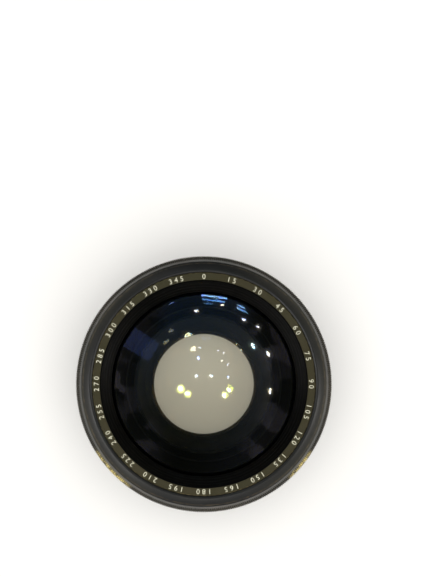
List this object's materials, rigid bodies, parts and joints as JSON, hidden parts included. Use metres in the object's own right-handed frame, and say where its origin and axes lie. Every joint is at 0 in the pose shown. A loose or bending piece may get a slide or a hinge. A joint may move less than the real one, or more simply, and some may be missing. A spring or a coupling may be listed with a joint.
{
  "type": "wide angle converter lens",
  "caption": "Wide angle converter lens: a flared black barrel with a bulging front glass, a knurled grip ring and a threaded rear mount ring.",
  "frame": {"origin": "middle of the rear face, on the optical axis", "axes": "+Z along the optical axis towards the front glass; X and Y square to it, with one grub screw of the mount ring on +X"},
  "size_m": [0.094, 0.094, 0.0603],
  "materials": {
    "satin_black": "satin dark grey anodised",
    "black_anodised": "fine satin black anodised",
    "matt_black": "matt black anodised",
    "bronze_black": "faded anodised, olive to bronze tint",
    "coated_glass": "polished, single-layer blue coating, blackened rims",
    "screw_steel": "blackened steel",
    "shim_brass": "plain rolled brass"
  },
  "bodies": {
    "root": {"mount_ring": "black_anodised", "rear_cell": "matt_black", "rear_crown_element": "coated_glass", "rear_flint_element": "coated_glass", "rear_single_element": "coated_glass", "rear_spacer": "matt_black", "rear_retaining_ring": "matt_black", "main_barrel": "black_anodised", "baffle_tube": "matt_black", "front_cell": "matt_black", "spacing_shim": "shim_brass", "front_element": "coated_glass", "second_element": "coated_glass", "front_spacer": "matt_black", "front_retaining_ring": "matt_black", "name_ring": "bronze_black", "front_bezel": "satin_black", "grip_ring": "black_anodised", "mount_screws": "screw_steel", "grip_screws": "screw_steel"}
  },
  "joints": []
}
